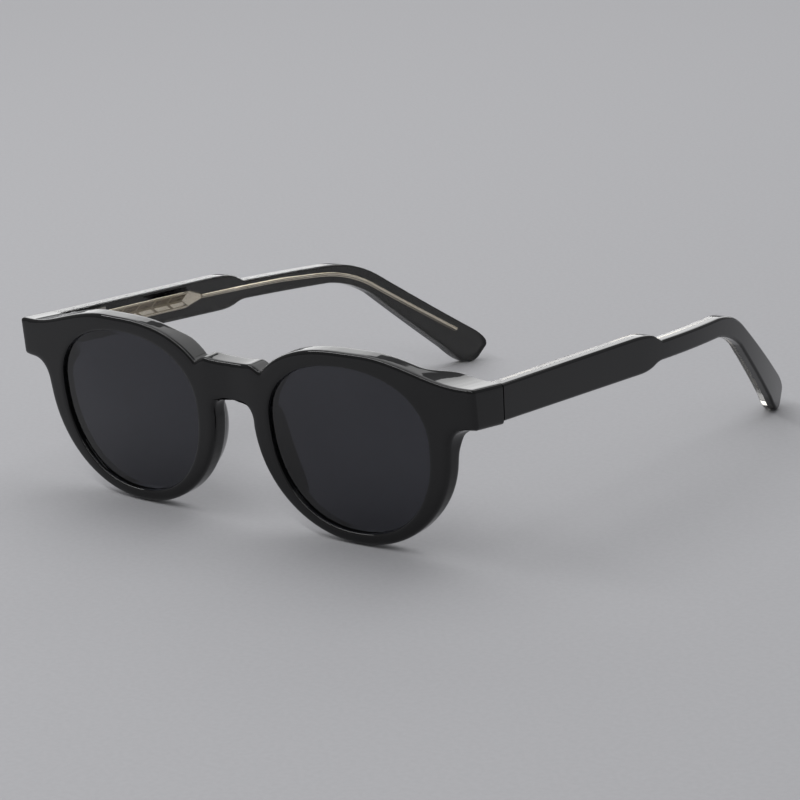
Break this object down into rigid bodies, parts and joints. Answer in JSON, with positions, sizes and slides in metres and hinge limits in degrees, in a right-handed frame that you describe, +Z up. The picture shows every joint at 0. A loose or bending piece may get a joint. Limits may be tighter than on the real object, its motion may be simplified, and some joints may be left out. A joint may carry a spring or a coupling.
{
  "type": "sunglasses",
  "caption": "Round acetate sunglasses with smoke lenses and folding temples that show a patterned metal core in a clear inner layer.",
  "frame": {"origin": "on the surface that the open glasses stand on, under the middle of their bounding box", "axes": "+Z up, +Y back along the temples from the front, +X towards the wearer's left"},
  "size_m": [0.1456, 0.1582, 0.0474],
  "materials": {
    "black_acetate": "polished black acetate",
    "clear_acetate": "polished clear acetate",
    "smoke_lens": "smoke grey tinted lens",
    "hinge_metal": "nickel silver, fine brushed",
    "screw_steel": "polished steel",
    "core_metal": "champagne nickel with an embossed herringbone"
  },
  "bodies": {
    "front": {"front_frame": "black_acetate", "lens_left": "smoke_lens", "lens_right": "smoke_lens", "nose_pad_left": "black_acetate", "nose_pad_right": "black_acetate", "hinge_front_leaf_left": "hinge_metal", "hinge_front_leaf_right": "hinge_metal", "hinge_screws": "screw_steel"},
    "left_temple": {"temple_outer_layer_left": "black_acetate", "temple_inner_layer_left": "clear_acetate", "temple_core_left": "core_metal", "hinge_temple_leaf_left": "hinge_metal"},
    "right_temple": {"temple_outer_layer_right": "black_acetate", "temple_inner_layer_right": "clear_acetate", "temple_core_right": "core_metal", "hinge_temple_leaf_right": "hinge_metal"}
  },
  "joints": [
    {"name": "left_temple_fold", "type": "hinge", "parent": "front", "child": "left_temple", "pos_m": [0.0666, -0.06323, 0.0372], "axis": [0, 0, 1], "range_deg": [0, 84]},
    {"name": "right_temple_fold", "type": "hinge", "parent": "front", "child": "right_temple", "pos_m": [-0.0666, -0.06323, 0.0372], "axis": [0, 0, -1], "range_deg": [0, 74]}
  ]
}
